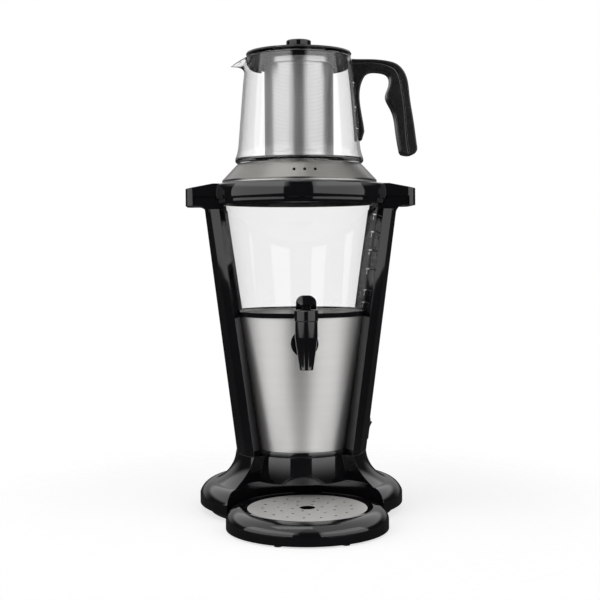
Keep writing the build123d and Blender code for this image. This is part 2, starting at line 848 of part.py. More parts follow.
def make_infuser_hanger():
    """Black hanger: a ring round the basket and two wings that rest on the pot's rim."""
    rim_r = pot_mouth_r - pot_wall - slip_gap
    low = pot_mouth_z - hanger_drop
    top = rim_seat_z
    inner = infuser_top_r + 0.1
    wings = ring(rim_r, rim_r - hanger_wall, low, top)
    wings += ring(rim_r - 1, inner, pot_mouth_z - 2.5, pot_mouth_z)
    wings += ring(inner + hanger_wall, inner, low, pot_mouth_z)
    wings += ring(pot_mouth_r, rim_r - 1, pot_mouth_z + 0.05, top)
    wings &= wedge(hanger_half_angle, pot_mouth_r, low - 1, top + 1)
    for angle in (0, 180):
        for turn in (-14, 14):
            x, y = polar(rim_r - 1, angle + turn)
            wings -= Pos(x, y, low - 1) * Rot(0, 0, angle + turn) * block((-6, 6), (-1.5, 1.5), (0, 7))
    return wings + ring(inner + 1.4, inner, pot_mouth_z - 4, pot_mouth_z)


def make_infuser_basket():
    """Thin steel basket, wider above the step, closed at the bottom."""
    outer = disc(infuser_r, infuser_low_z, infuser_step_z) + disc(infuser_top_r, infuser_step_z, pot_mouth_z)
    w = infuser_wall
    inner = disc(infuser_r - w, infuser_low_z + w, infuser_step_z + w) + disc(
        infuser_top_r - w, infuser_step_z + w, pot_mouth_z + 1
    )
    return outer - inner


def make_pot_lid():
    """Flat disc lid with a shallow dome and a spigot inside the basket's mouth."""
    top = lid_disc_z + pot_lid_t
    lid = turned(
        Line((0, lid_disc_z), (pot_lid_r - 0.8, lid_disc_z)),
        Line((pot_lid_r - 0.8, lid_disc_z), (pot_lid_r, lid_disc_z + 0.8)),
        Line((pot_lid_r, lid_disc_z + 0.8), (pot_lid_r - 0.8, top)),
        bowed((pot_lid_r - 0.8, top), (0, top + pot_lid_dome), -pot_lid_dome / 4),
        Line((0, top + pot_lid_dome), (0, lid_disc_z)),
    )
    spigot_r = infuser_top_r - infuser_wall - slip_gap
    lid += ring(spigot_r, spigot_r - 2.2, lid_disc_z - 4, lid_disc_z + 0.5)
    return lid - disc(screw_r + pin_gap, lid_disc_z - 1, top + pot_lid_dome + 1)


def make_lid_knob():
    """Turned knob with a waist."""
    low = knob_low_z
    cap = knob_top_z - knob_cap_h
    knob = turned(
        Line((0, low), (knob_neck_r, low)),
        Line((knob_neck_r, low), (knob_neck_r, cap)),
        bowed((knob_neck_r, cap), (knob_r, cap + 2.4), 0.6),
        Line((knob_r, cap + 2.4), (knob_r, knob_top_z - 1.5)),
        bowed((knob_r, knob_top_z - 1.5), (knob_r - 1.5, knob_top_z), -0.44),
        Line((knob_r - 1.5, knob_top_z), (0, knob_top_z)),
        Line((0, knob_top_z), (0, low)),
    )
    return knob - disc(screw_r + pin_gap, low - 1, lid_disc_z + knob_screw_length + touch_gap)


def make_knob_screw():
    """Screw from under the lid into the knob."""
    return screw(0, 0, lid_disc_z, knob_screw_length)


def make_tap_body():
    """Tap body with its spout, horizontal stem, flange and threaded tail."""
    body = turned_polygon(
        (0, tap_end_z),
        (tap_end_r, tap_end_z),
        (tap_end_r + 0.5, tap_end_z + 3),
        (tap_r, tap_shoulder_z),
        (tap_r, tap_top_z),
        (0, tap_top_z),
    )
    body = Pos(0, tap_y, 0) * body
    body += rod_y(tap_stem_r, tap_y, tap_flange_y + 1, 0, tap_axis_z)
    body += rod_y(tap_flange_r, tap_flange_y, tap_flange_y + tap_flange_t, 0, tap_axis_z)
    body += rod_y(tap_tail_r, tap_flange_y, tap_tail_y, 0, tap_axis_z)
    body -= disc(tap_bore_r, tap_end_z - 1, tap_seat_z + 1, 0, tap_y)
    body -= disc(tap_chamber_r, tap_seat_z, tap_top_z + 1, 0, tap_y)
    return body - rod_y(tap_stem_bore_r, tap_y, tap_tail_y + 1, 0, tap_axis_z)


def make_tap_outer_seal():
    """Silicone washer shaped to the cone, outside the wall."""
    washer = rod_y(tap_seal_r, tap_flange_y + tap_flange_t, -40, 0, tap_axis_z)
    washer -= rod_y(tap_tail_r + pin_gap, -80, -30, 0, tap_axis_z)
    washer -= vessel_cone(heater_z, trim_low_z, 0.02)
    return washer


def make_tap_inner_seal():
    """Silicone washer between the nut and the wall, inside."""
    start = tap_tail_y - tap_nut_t - 1.5
    inside = vessel_cone(heater_z, trim_low_z, -steel_wall - 0.02)
    washer = rod_y(tap_nut_r, -80, start, 0, tap_axis_z) & inside
    return washer - rod_y(tap_tail_r + pin_gap, -80, -30, 0, tap_axis_z)


def make_tap_nut():
    """Hexagon nut on the tap's tail, inside the vessel."""
    start = tap_tail_y - tap_nut_t - 1.5
    hexagon = RegularPolygon(tap_nut_r - 0.4, 6)
    nut = Pos(0, start, tap_axis_z) * Rot(-90, 0, 0) * extrude(hexagon, tap_nut_t)
    return nut - rod_y(tap_tail_r + pin_gap, -80, -30, 0, tap_axis_z)


def make_tap_cap():
    """Bonnet on the tap, with a slot for the lever and a hole for its pin."""
    cap = turned_polygon(
        (cap_bore_r, tap_top_z),
        (cap_r - cap_edge, tap_top_z),
        (cap_r, tap_top_z + cap_edge),
        (cap_r, cap_top_z - cap_edge),
        (cap_r - cap_edge, cap_top_z),
        (cap_bore_r, cap_top_z),
    )
    front = tap_y - cap_r + cap_front_wall
    back = tap_y + cap_r - cap_back_wall
    slot = block((-cap_slot_w / 2, cap_slot_w / 2), (front, back), (tap_top_z - 1, cap_top_z + 1))
    pin_hole = rod_x(lever_pin_r + pin_gap, -cap_r - 1, cap_r + 1, tap_y, lever_pivot_z)
    return Pos(0, tap_y, 0) * cap - slot - pin_hole


def make_lever_pin():
    """Hinge pin across the bonnet."""
    half = cap_r - cap_edge
    return rod_x(lever_pin_r, -half, half, tap_y, lever_pivot_z)


def make_tap_lever():
    """Paddle with a rounded top on a round-ended ear, relieved so that it can tip forwards."""
    half_t = lever_t / 2
    paddle_low = cap_top_z + touch_gap
    plan = RectangleRounded(lever_w, 2 * (lever_top_z - paddle_low), lever_round)
    paddle = Pos(0, tap_y, paddle_low) * Rot(90, 0, 0) * extrude(plan, half_t, both=True)
    paddle &= block((-lever_w, lever_w), (tap_y - lever_t, tap_y + lever_t), (paddle_low, lever_top_z + 1))
    scoop_r = 2 * lever_w
    scoop = Pos(0, tap_y - half_t - scoop_r + 1.6, lever_top_z + 1) * Sphere(scoop_r)
    paddle -= scoop
    swept = Pos(0, tap_y, lever_pivot_z) * Rot(-lever_travel, 0, 0)
    paddle -= swept * block((-lever_w, lever_w), (-30, 30), (-20, cap_top_z - lever_pivot_z + touch_gap))
    ear_half = cap_slot_w / 2 - 0.2
    ear = rod_x(lever_ear_r, -ear_half, ear_half, tap_y, lever_pivot_z)
    ear += block((-ear_half, ear_half), (tap_y - 2.2, tap_y + 3.0), (lever_pivot_z, paddle_low + 6))
    ear -= scoop
    return paddle + ear - rod_x(lever_pin_r + pin_gap, -lever_w, lever_w, tap_y, lever_pivot_z)


def make_valve_plug():
    """Rubber plug on its stem, seated in the tap body."""
    low = tap_seat_z + 0.05
    plug = turned_polygon(
        (0, low), (plug_r - 0.6, low), (plug_r, low + 1.5), (plug_r, low + plug_h), (0, low + plug_h)
    )
    plug += disc(plug_stem_r, low + plug_h - 1, lever_pivot_z - lever_ear_r - plug_room)
    return Pos(0, tap_y, 0) * plug


def tray_form():
    """The tray's solid form: an upright wall that turns into a domed rim, with a bevelled lip."""
    return turned(
        Line((0, tray_foot_h), (tray_r, tray_foot_h)),
        Line((tray_r, tray_foot_h), (tray_r, tray_dome_z)),
        EllipticalCenterArc((tray_lip_r, tray_dome_z), tray_r - tray_lip_r, tray_h - tray_dome_z),
        Line((tray_lip_r, tray_h), (tray_inner_r, grid_z)),
        Line((tray_inner_r, grid_z), (0, grid_z)),
        Line((0, grid_z), (0, tray_foot_h)),
    )


def tray_channel():
    """The hollow between the basin's wall and the tray's outer wall."""
    inner = tray_inner_r + tray_wall
    outer = tray_r - tray_wall
    roof = tray_h - 1.6 * tray_wall
    return turned(
        Line((inner, 0), (outer, 0)),
        Line((outer, 0), (outer, tray_dome_z)),
        EllipticalCenterArc((inner, tray_dome_z), outer - inner, roof - tray_dome_z),
        Line((inner, roof), (inner, 0)),
    )


def tray_basin():
    """The room for the water and the grid, with the ledge that the grid rests on."""
    floor_z = tray_foot_h + tray_floor
    ledge_z = grid_z - grid_t
    ledge_r = grid_r - grid_ledge
    return turned_polygon(
        (0, floor_z),
        (tray_inner_r, floor_z),
        (tray_inner_r, ledge_z - 5),
        (ledge_r, ledge_z - 1.5),
        (ledge_r, ledge_z),
        (tray_inner_r, ledge_z),
        (tray_inner_r, grid_z + 1),
        (0, grid_z + 1),
    )


def make_drip_tray():
    """Round tray: domed rim over a hollow channel, a basin with a ledge, foot posts and a tongue."""
    centre = Pos(0, tray_y, 0)
    tray = centre * (tray_form() - tray_channel() - tray_basin())
    for x, y in tray_foot_places():
        tray += disc(tray_foot_r + 1, tray_foot_h, tray_h, x, y) & (centre * tray_form())
    return tray + (tongue(0) - disc(tray_r - tray_wall, tongue_z - 1, tongue_z + tongue_h + 1, 0, tray_y))


def tray_foot_places():
    """Centres of the tray's feet."""
    r = tray_r - tray_foot_r - 1.5
    turns = (-90 - tray_foot_turn, -90 + tray_foot_turn, 90 - tray_foot_turn, 90 + tray_foot_turn)
    return [(polar(r, turn)[0], tray_y + polar(r, turn)[1]) for turn in turns]


def make_tray_feet():
    """Four rubber feet under the tray's rim."""
    return Part() + [disc(tray_foot_r, 0, tray_foot_h, x, y) for x, y in tray_foot_places()]


def make_drip_grid():
    """Steel grid plate with a finger hole and rings of drain holes."""
    low = grid_z - grid_t
    plate = disc(grid_r, low, grid_z, 0, tray_y)
    plate -= disc(grid_centre_r, low - 1, grid_z + 1, 0, tray_y)
    holes = []
    for r, count in zip(grid_ring_radii, grid_ring_counts):
        for index in range(count):
            x, y = polar(r, 360 * index / count + grid_hole_turn)
            holes.append(disc(grid_hole_r, low - 1, grid_z + 1, x, tray_y + y))
    return plate - holes


right_column = make_column(1) - switch_pocket()

pieces = {
    "base_shell": make_base_shell(),
    "bottom_cover": make_bottom_cover(),
    "foot_ring": make_foot_ring(),
    "bottom_screws": make_bottom_screws(),
    "column_screws": make_column_screws(),
    "cord_gland": make_cord_gland(),
    "terminal_block": make_terminal_block(),
    "left_column": make_column(-1),
    "right_column": right_column,
    "arm_screws": make_arm_screws(),
    "switch_frame": make_switch_frame(),
    "rocker": make_rocker(),
    "switch_pin": make_switch_pin(),
    "body_ring": make_body_ring(),
    "steel_body": make_steel_body(),
    "tank_seal": make_tank_seal(),
    "glass_tank": make_glass_tank(),
    "trim_ring": make_trim_ring(),
    "rim_seal": make_rim_seal(),
    "heater_plate": make_heater_plate(),
    "heating_element": make_heating_element(),
    "thermostat": make_thermostat(),
    "thermal_fuse": make_thermal_fuse(),
    "collar": make_collar(),
    "steam_lid": make_steam_lid(),
    "steam_pan": make_steam_pan(),
    "lid_seal": make_lid_seal(),
    "pot_glass": make_pot_glass(),
    "pot_handle": make_pot_handle(),
    "handle_cover": make_handle_cover(),
    "infuser_hanger": make_infuser_hanger(),
    "infuser_basket": make_infuser_basket(),
    "pot_lid": make_pot_lid(),
    "lid_knob": make_lid_knob(),
    "knob_screw": make_knob_screw(),
    "tap_body": make_tap_body(),
    "tap_outer_seal": make_tap_outer_seal(),
    "tap_inner_seal": make_tap_inner_seal(),
    "tap_nut": make_tap_nut(),
    "tap_cap": make_tap_cap(),
    "lever_pin": make_lever_pin(),
    "tap_lever": make_tap_lever(),
    "valve_plug": make_valve_plug(),
    "drip_tray": make_drip_tray(),
    "tray_feet": make_tray_feet(),
    "drip_grid": make_drip_grid(),
}

for name, piece in pieces.items():
    export_step(piece, f"parts/{name}.step")
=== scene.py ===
# %% [markdown]
# # An automatic tea maker
# A tapered water tank stands between two black columns, with a tap and a drip tray in front and a glass
# teapot on top. The solid model has the main shapes already, so this lesson dresses it: each node gets
# the finish of the real part, the two glass walls are turned again in finer steps, and the printed level
# marks are added as thin mesh.

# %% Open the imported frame
import json
import math

import bmesh
import bpy
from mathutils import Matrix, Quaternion, Vector


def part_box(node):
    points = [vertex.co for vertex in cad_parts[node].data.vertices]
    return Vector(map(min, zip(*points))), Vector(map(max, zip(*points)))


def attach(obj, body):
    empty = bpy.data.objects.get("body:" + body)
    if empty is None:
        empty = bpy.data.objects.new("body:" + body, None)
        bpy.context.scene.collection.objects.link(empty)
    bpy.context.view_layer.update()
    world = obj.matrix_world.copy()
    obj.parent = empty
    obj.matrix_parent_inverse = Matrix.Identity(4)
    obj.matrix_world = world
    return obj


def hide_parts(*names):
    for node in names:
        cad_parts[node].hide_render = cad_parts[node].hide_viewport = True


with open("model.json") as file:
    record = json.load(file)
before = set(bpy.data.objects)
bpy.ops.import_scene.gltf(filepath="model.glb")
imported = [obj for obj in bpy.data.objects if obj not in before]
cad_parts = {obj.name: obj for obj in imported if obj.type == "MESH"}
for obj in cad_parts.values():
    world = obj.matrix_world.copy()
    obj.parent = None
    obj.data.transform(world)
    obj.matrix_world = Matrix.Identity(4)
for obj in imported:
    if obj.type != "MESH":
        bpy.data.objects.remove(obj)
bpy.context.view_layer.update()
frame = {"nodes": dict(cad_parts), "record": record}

MM = 0.001

# %% [markdown]
# ## Camera
# The product was photographed with a long lens from a little above the middle of the tank, so that the
# rims above the eye show their undersides and the tray below shows its top. The camera's distance and
# height were fitted until the round edges lay about as flat as they do there. It stands slightly to the
# left, and a small roll gives the lean. Part of the downward view is a tilt and part is lens shift, which
# keeps the uprights nearly parallel. The lens is written as focal length over picture width.

# %% Place the camera
EYE_DISTANCE = 1.190
EYE_HEIGHT = 0.263
EYE_TURN = math.radians(3.3)
LENS_SHARE = 1190 / 600
SENSOR_WIDTH = 36.0
PITCH_DOWN = math.radians(1.35)
SHIFT_Y = -0.0467
ROLL = math.radians(0.35)

camera_data = bpy.data.cameras.new("studio_camera")
camera_data.sensor_width = SENSOR_WIDTH
camera_data.lens = LENS_SHARE * SENSOR_WIDTH
camera_data.shift_y = SHIFT_Y
camera = bpy.data.objects.new("studio_camera", camera_data)
bpy.context.scene.collection.objects.link(camera)
bpy.context.scene.camera = camera

eye = Vector((-math.sin(EYE_TURN) * EYE_DISTANCE, -math.cos(EYE_TURN) * EYE_DISTANCE, EYE_HEIGHT))
level_way = Vector((-eye.x, -eye.y, 0)).normalized()
sight = level_way * math.cos(PITCH_DOWN) - Vector((0, 0, math.sin(PITCH_DOWN)))
camera.location = eye
camera.rotation_mode = "QUATERNION"
camera.rotation_quaternion = sight.to_track_quat("-Z", "Y") @ Quaternion((0, 0, 1), -ROLL)
print("eye", [round(v, 3) for v in eye], "lens", round(camera_data.lens, 1))

# %% [markdown]
# ## Wiring nodes
# The world, the floor and every finish are node trees. Adding a node, setting it and linking it takes four
# lines in Blender's own words, so a small helper writes them once. A value can be a number or a socket.

# %% A shorthand for node trees


class Wiring:
    """Adds and links the nodes of one tree."""

    def __init__(self, tree):
        self.nodes = tree.nodes
        self.links = tree.links

    def put(self, socket, value):
        """Give a socket a number, a colour or another node's output."""
        if isinstance(value, bpy.types.NodeSocket):
            self.links.new(value, socket)
        else:
            socket.default_value = value

    def math(self, operation, first, second=0.0):
        node = self.nodes.new("ShaderNodeMath")
        node.operation = operation
        self.put(node.inputs[0], first)
        self.put(node.inputs[1], second)
        return node.outputs[0]

    def span(self, value, low, high, start=0.0, end=1.0, soft=False):
        """Value moved from the range start to end on to the range low to high."""
        node = self.nodes.new("ShaderNodeMapRange")
        if soft:
            node.interpolation_type = "SMOOTHSTEP"
        node.inputs["From Min"].default_value = start
        node.inputs["From Max"].default_value = end
        node.inputs["To Min"].default_value = low
        node.inputs["To Max"].default_value = high
        self.links.new(value, node.inputs["Value"])
        return node.outputs["Result"]

    def length(self, a, b):
        """Long side of a right triangle with sides a and b."""
        squares = self.math("ADD", self.math("MULTIPLY", a, a), self.math("MULTIPLY", b, b))
        return self.math("SQRT", squares)

    def rays(self):
        """Two shares: 1 for rays to the eye or through glass, and 1 for rays off a mirror."""
        path = self.nodes.new("ShaderNodeLightPath")
        seen = self.math("MAXIMUM", path.outputs["Is Camera Ray"], path.outputs["Is Transmission Ray"])
        return seen, self.math("MINIMUM", path.outputs["Glossy Depth"], 1.0)

    def choose(self, share, first, second):
        """Number between two, by share."""
        node = self.nodes.new("ShaderNodeMix")
        node.data_type = "FLOAT"
        self.put(node.inputs["Factor"], share)
        self.put(node.inputs["A"], first)
        self.put(node.inputs["B"], second)
        return node.outputs["Result"]

    def split(self, vector):
        """X, Y and Z of a vector."""
        node = self.nodes.new("ShaderNodeSeparateXYZ")
        self.links.new(vector, node.inputs[0])
        return node.outputs[0], node.outputs[1], node.outputs[2]

    def place(self, scale=(1, 1, 1)):
        """Object coordinates, in metres, stretched by scale."""
        where = self.nodes.new("ShaderNodeTexCoord")
        stretch = self.nodes.new("ShaderNodeMapping")
        stretch.inputs["Scale"].default_value = scale
        self.links.new(where.outputs["Object"], stretch.inputs["Vector"])
        return stretch.outputs["Vector"]


# %% [markdown]
# ## Studio
# Black gloss shows nothing but its surroundings. Two tall softboxes, left and right of the camera, draw the
# grey patches that tell the eye a part is round, and the gap between them is the dark side of the room
# where the camera stands. The brushed steel gathers both of them over its whole height. Camera rays, and
# rays that only went through glass, see plain white behind it all. That white adds no light to the
# object, apart from a little on what stands inside the glass.

# %% Background
scene = bpy.context.scene
scene.view_settings.view_transform = "Standard"
WHITE = (1, 1, 1, 1)
ROOM_LIGHT = 0.34
DIM = 0.03
BEHIND_GLOW = 0.35
BEHIND_TURN = (math.radians(125), math.radians(155))
HORIZON_RISE = (-0.02, 0.10)
CEILING_GLOW = 0.7
CEILING_RISE = (0.60, 0.95)
FLAG_GLOW = 1.0
FLAG_TURN = (math.radians(14), math.radians(24))
FLAG_RISE = (0.26, 0.45)


def make_world():
    """White to the eye, a dim room to diffuse light, and a dark room with a pale ceiling to mirrors."""
    world = bpy.data.worlds.new("studio_world")
    world.use_nodes = True
    wires = Wiring(world.node_tree)
    wires.nodes.clear()
    where = wires.nodes.new("ShaderNodeTexCoord")
    x, y, z = wires.split(where.outputs["Generated"])
    turn = wires.math("ABSOLUTE", wires.math("ARCTAN2", x, wires.math("MULTIPLY", y, -1.0)))
    behind = wires.span(turn, 0, BEHIND_GLOW, *BEHIND_TURN, soft=True)
    above = wires.span(z, 0, 1, *HORIZON_RISE, soft=True)
    ceiling = wires.span(z, DIM, CEILING_GLOW, *CEILING_RISE, soft=True)
    beside = wires.span(turn, 0, FLAG_GLOW, *FLAG_TURN, soft=True)
    high = wires.span(z, 0, 1, *FLAG_RISE, soft=True)
    mirror = wires.math("ADD", wires.math("MULTIPLY", behind, above), ceiling)
    mirror = wires.math("ADD", wires.math("MULTIPLY", beside, high), mirror)
    mirror = wires.math("MINIMUM", mirror, 1.0)
    seen, mirrored = wires.rays()
    strength = wires.choose(mirrored, wires.choose(seen, ROOM_LIGHT, 1.0), mirror)
    background = wires.nodes.new("ShaderNodeBackground")
    wires.put(background.inputs["Color"], WHITE)
    wires.put(background.inputs["Strength"], strength)
    out = wires.nodes.new("ShaderNodeOutputWorld")
    wires.put(out.inputs["Surface"], background.outputs[0])
    return world


scene.world = make_world()
print("world", scene.world.name)

# %% [markdown]
# The table is a disc that fades out into the white background, so no horizon shows. A part of its white is
# light of its own, which is for the camera, and the rest is lamp light that falls on it. Where the object
# keeps the lamps off, that rest is missing, and this is the soft shadow.

# %% Table
TABLE_R = 0.42
TABLE_STEPS = 128
TABLE_FADE = (0.22, TABLE_R - 0.02)
TABLE_COLOUR = 0.5
TABLE_LIFT = 0.66


def make_table():
    """White disc that keeps the shadow."""
    mesh = bpy.data.meshes.new("table_disc")
    shape = bmesh.new()
    bmesh.ops.create_circle(shape, cap_ends=True, segments=TABLE_STEPS, radius=TABLE_R)
    shape.to_mesh(mesh)
    shape.free()
    table = bpy.data.objects.new("table_disc", mesh)
    scene.collection.objects.link(table)
    paint = bpy.data.materials.new("white_table")
    paint.use_nodes = True
    wires = Wiring(paint.node_tree)
    shader = wires.nodes["Principled BSDF"]
    wires.put(shader.inputs["Roughness"], 0.9)
    wires.put(shader.inputs["Specular IOR Level"], 0.1)
    seen, mirrored = wires.rays()
    wires.put(shader.inputs["Base Color"], wires.choose(mirrored, TABLE_COLOUR, DIM))
    wires.put(shader.inputs["Emission Color"], WHITE)
    wires.put(shader.inputs["Emission Strength"], wires.math("MULTIPLY", seen, TABLE_LIFT))
    x, y, _ = wires.split(wires.place())
    fade = wires.nodes.new("ShaderNodeMixShader")
    wires.put(fade.inputs[0], wires.span(wires.length(x, y), 0, 1, *TABLE_FADE, soft=True))
    wires.put(fade.inputs[1], shader.outputs[0])
    wires.put(fade.inputs[2], wires.nodes.new("ShaderNodeBsdfTransparent").outputs[0])
    wires.put(wires.nodes["Material Output"].inputs["Surface"], fade.outputs[0])
    mesh.materials.append(paint)
    return table


print("table", make_table().name, "radius", TABLE_R)

# %% [markdown]
# An area lamp's brightness is its power over its area, so the power here follows from the lamp's size and
# a glow number, and a wider lamp stays as bright. The glow numbers were set beside the photograph.
# Two low white cards just outside the table's edge give the front drum its pair of patches.

# %% Lamps
SOFTBOX_DISTANCE = 2.5
SOFTBOX_HEIGHTS = (-0.02, 2.6)
SOFTBOX_GLOW = 1.15
CARD_DISTANCE = 0.5
CARD_HEIGHTS = (-0.09, -0.02)
CARD_GLOW = 2.2
TOP_SIZE = (0.9, 0.6)
TOP_PLACE = (-0.35, -0.15, 1.5)
TOP_POWER = 2.2


def softbox(name, turn, half_turn, low, high, glow, distance):
    """Upright softbox that covers a range of directions round the object."""
    turn = math.radians(turn)
    width = 2 * distance * math.tan(math.radians(half_turn))
    height = high - low
    lamp = bpy.data.lights.new(name, "AREA")
    lamp.shape = "RECTANGLE"
    lamp.size, lamp.size_y = width, height
    lamp.energy = glow * math.pi * width * height
    box = bpy.data.objects.new(name, lamp)
    box.location = (math.sin(turn) * distance, -math.cos(turn) * distance, (low + high) / 2)
    way = Vector((-box.location.x, -box.location.y, 0))
    box.rotation_euler = way.to_track_quat("-Z", "Y").to_euler()
    box.visible_camera = False
    scene.collection.objects.link(box)
    return box


for hand, middle, half_turn in (("left", -61, 38), ("right", 50, 36)):
    softbox(f"softbox_{hand}", middle, half_turn, *SOFTBOX_HEIGHTS, SOFTBOX_GLOW, SOFTBOX_DISTANCE)
for hand, middle, half_turn in (("left", -53, 27), ("right", 46, 27)):
    softbox(f"card_{hand}", middle, half_turn, *CARD_HEIGHTS, CARD_GLOW, CARD_DISTANCE)
ceiling_lamp = bpy.data.lights.new("softbox_top", "AREA")
ceiling_lamp.shape = "RECTANGLE"
ceiling_lamp.size, ceiling_lamp.size_y = TOP_SIZE
ceiling_lamp.energy = TOP_POWER
ceiling_box = bpy.data.objects.new("softbox_top", ceiling_lamp)
ceiling_box.location = TOP_PLACE
ceiling_box.visible_camera = False
scene.collection.objects.link(ceiling_box)

# %% [markdown]
# ## Finishes
# Each finish is a small group of nodes on one Principled shader. Object coordinates are in metres, so a
# texture scale of 1000 means one feature a millimetre.

# %% One class for all finishes


class Finish(Wiring):
    """One node material with its Principled shader."""

    def __init__(self, name, colour, roughness, metallic=0.0):
        self.material = bpy.data.materials.new(name)
        self.material.use_nodes = True
        super().__init__(self.material.node_tree)
        self.shader = self.nodes["Principled BSDF"]
        self.set("Base Color", (*colour, 1.0))
        self.set("Roughness", roughness)
        self.set("Metallic", metallic)

    def set(self, socket, value):
        self.put(self.shader.inputs[socket], value)

    def noise(self, vector, scale, detail=3.0, rough=0.5):
        node = self.nodes.new("ShaderNodeTexNoise")
        node.inputs["Scale"].default_value = scale
        node.inputs["Detail"].default_value = detail
        node.inputs["Roughness"].default_value = rough
        self.links.new(vector, node.inputs["Vector"])
        return node.outputs["Fac"]

    def blend(self, share, first, second):
        """Colour between two, by share."""
        node = self.nodes.new("ShaderNodeMix")
        node.data_type = "RGBA"
        self.put(node.inputs["Factor"], share)
        node.inputs["A"].default_value = (*first, 1.0)
        node.inputs["B"].default_value = (*second, 1.0)
        return node.outputs["Result"]

    def relief(self, height, strength, distance, edge=0.0):
        """Bump from a height, on edges that are rounded by edge."""
        node = self.nodes.new("ShaderNodeBump")
        node.inputs["Strength"].default_value = strength
        node.inputs["Distance"].default_value = distance
        self.links.new(height, node.inputs["Height"])
        if edge:
            soft_edge = self.nodes.new("ShaderNodeBevel")
            soft_edge.samples = 4
            soft_edge.inputs["Radius"].default_value = edge
            self.links.new(soft_edge.outputs["Normal"], node.inputs["Normal"])
        self.set("Normal", node.outputs["Normal"])

    def brushed(self, amount=0.9):
        """Stretch the highlight across grain that runs round the Z axis."""
        tangent = self.nodes.new("ShaderNodeTangent")
        tangent.direction_type = "RADIAL"
        tangent.axis = "Z"
        self.set("Tangent", tangent.outputs["Tangent"])
        self.set("Anisotropic", amount)
        self.set("Anisotropic Rotation", 0.25)


# %% [markdown]
# ## Black mouldings
# The polished parts come from a mirror-bright mould, so they are nearly a mirror, with a faint waviness
# and a little haze. Real mouldings have no razor edges: the Bevel node rounds the shading of each edge by
# a fraction of a millimetre, and that thin line catches the light as it does in the photograph.

# %% Polished, handle, satin and rubber blacks
def polished_black():
    """Deep black from a polished mould."""
    finish = Finish("polished_black", (0.004, 0.004, 0.005), 0.06)
    where = finish.place()
    haze = finish.noise(where, 60, 4)
    finish.set("Roughness", finish.span(haze, 0.03, 0.09))
    finish.set("Base Color", finish.blend(haze, (0.003, 0.003, 0.004), (0.006, 0.006, 0.007)))
    finish.set("Specular IOR Level", 0.72)
    finish.relief(finish.noise(where, 35, 1), 0.05, 0.0005, edge=0.0005)
    return finish.material


def handle_black():
    """The grip: the same plastic, a little duller from its mould, with fine haze from use."""
    finish = Finish("handle_black", (0.012, 0.012, 0.013), 0.2)
    where = finish.place()
    haze = finish.noise(where, 120, 4)
    finish.set("Roughness", finish.span(haze, 0.12, 0.22))
    finish.set("Base Color", finish.blend(haze, (0.006, 0.006, 0.007), (0.012, 0.012, 0.013)))
    finish.set("Specular IOR Level", 0.7)
    finish.relief(finish.noise(where, 900, 2), 0.12, 0.00004, edge=0.0008)
    return finish.material


def satin_black():
    """Fine spark-eroded texture on the parts underneath."""
    finish = Finish("satin_black", (0.016, 0.016, 0.017), 0.5)
    grain = finish.noise(finish.place(), 1400, 2)
    finish.set("Roughness", finish.span(grain, 0.42, 0.6))
    finish.relief(grain, 0.3, 0.00015, edge=0.0003)
    return finish.material


def rubber_black():
    """Soft rubber of the feet."""
    finish = Finish("rubber_black", (0.02, 0.02, 0.02), 0.75)
    grain = finish.noise(finish.place(), 900, 3)
    finish.set("Base Color", finish.blend(grain, (0.014, 0.014, 0.014), (0.03, 0.03, 0.029)))
    finish.relief(grain, 0.35, 0.0002)
    return finish.material


# %% [markdown]
# ## Steel
# Brushing leaves fine level scratches. They blur a reflection up and down but hardly sideways, so a tall
# lamp becomes an upright band. That is anisotropy, with its tangent round the axis and turned a quarter.

# %% Brushed, spun, plate, screw and element steel
LEVEL_FACE = 0.7


def brushed_cone_steel():
    """Stainless sheet brushed round the cone."""
    finish = Finish("brushed_cone_steel", (0.90, 0.895, 0.88), 0.5, 1.0)
    grain = finish.noise(finish.place((12, 12, 3200)), 1.0, 4, 0.6)
    broad = finish.noise(finish.place((6, 6, 240)), 1.0, 2)
    finish.set("Roughness", finish.span(grain, 0.46, 0.60))
    finish.set("Base Color", finish.blend(broad, (0.90, 0.895, 0.88), (0.95, 0.945, 0.93)))
    finish.relief(grain, 0.10, 0.00004)
    finish.brushed(0.7)
    return finish.material


def spun_lid_steel():
    """Stainless sheet spun on a lathe: darker, with fine rings round the axis."""
    finish = Finish("spun_lid_steel", (0.26, 0.255, 0.24), 0.3, 1.0)
    grain = finish.noise(finish.place((20, 20, 3000)), 1.0, 4, 0.6)
    finish.set("Roughness", finish.span(grain, 0.26, 0.42))
    finish.set("Base Color", finish.blend(grain, (0.19, 0.185, 0.175), (0.30, 0.295, 0.28)))
    finish.relief(grain, 0.15, 0.00006)
    finish.brushed(0.8)
    return finish.material


def tray_plate_steel():
    """Matt rolled steel of the drip plate, painted dark on faces that aren't level: painted shade in its
    holes.
    """
    finish = Finish("tray_plate_steel", (0.70, 0.69, 0.67), 0.5, 0.75)
    speck = finish.noise(finish.place(), 1800, 2)
    cloud = finish.noise(finish.place(), 40, 3)
    finish.set("Roughness", finish.span(speck, 0.40, 0.58))
    shape = finish.nodes.new("ShaderNodeNewGeometry")
    level = finish.split(shape.outputs["True Normal"])[2]
    flat = finish.math("GREATER_THAN", finish.math("ABSOLUTE", level), LEVEL_FACE)
    # Painted shade: faces that aren't level, the walls of the holes, take a near-black colour so the holes
    # look dark.
    finish.set("Base Color", finish.blend(flat, (0.01, 0.01, 0.01), (0.78, 0.77, 0.75)))
    finish.set("Metallic", finish.span(cloud, 0.65, 0.85))
    finish.relief(speck, 0.2, 0.00005, edge=0.0003)
    return finish.material


def screw_steel():
    """Zinc plated screws."""
    finish = Finish("screw_steel", (0.55, 0.55, 0.54), 0.34, 1.0)
    grain = finish.noise(finish.place(), 700, 2)
    finish.set("Roughness", finish.span(grain, 0.25, 0.45))
    finish.relief(grain, 0.1, 0.00005, edge=0.0002)
    return finish.material


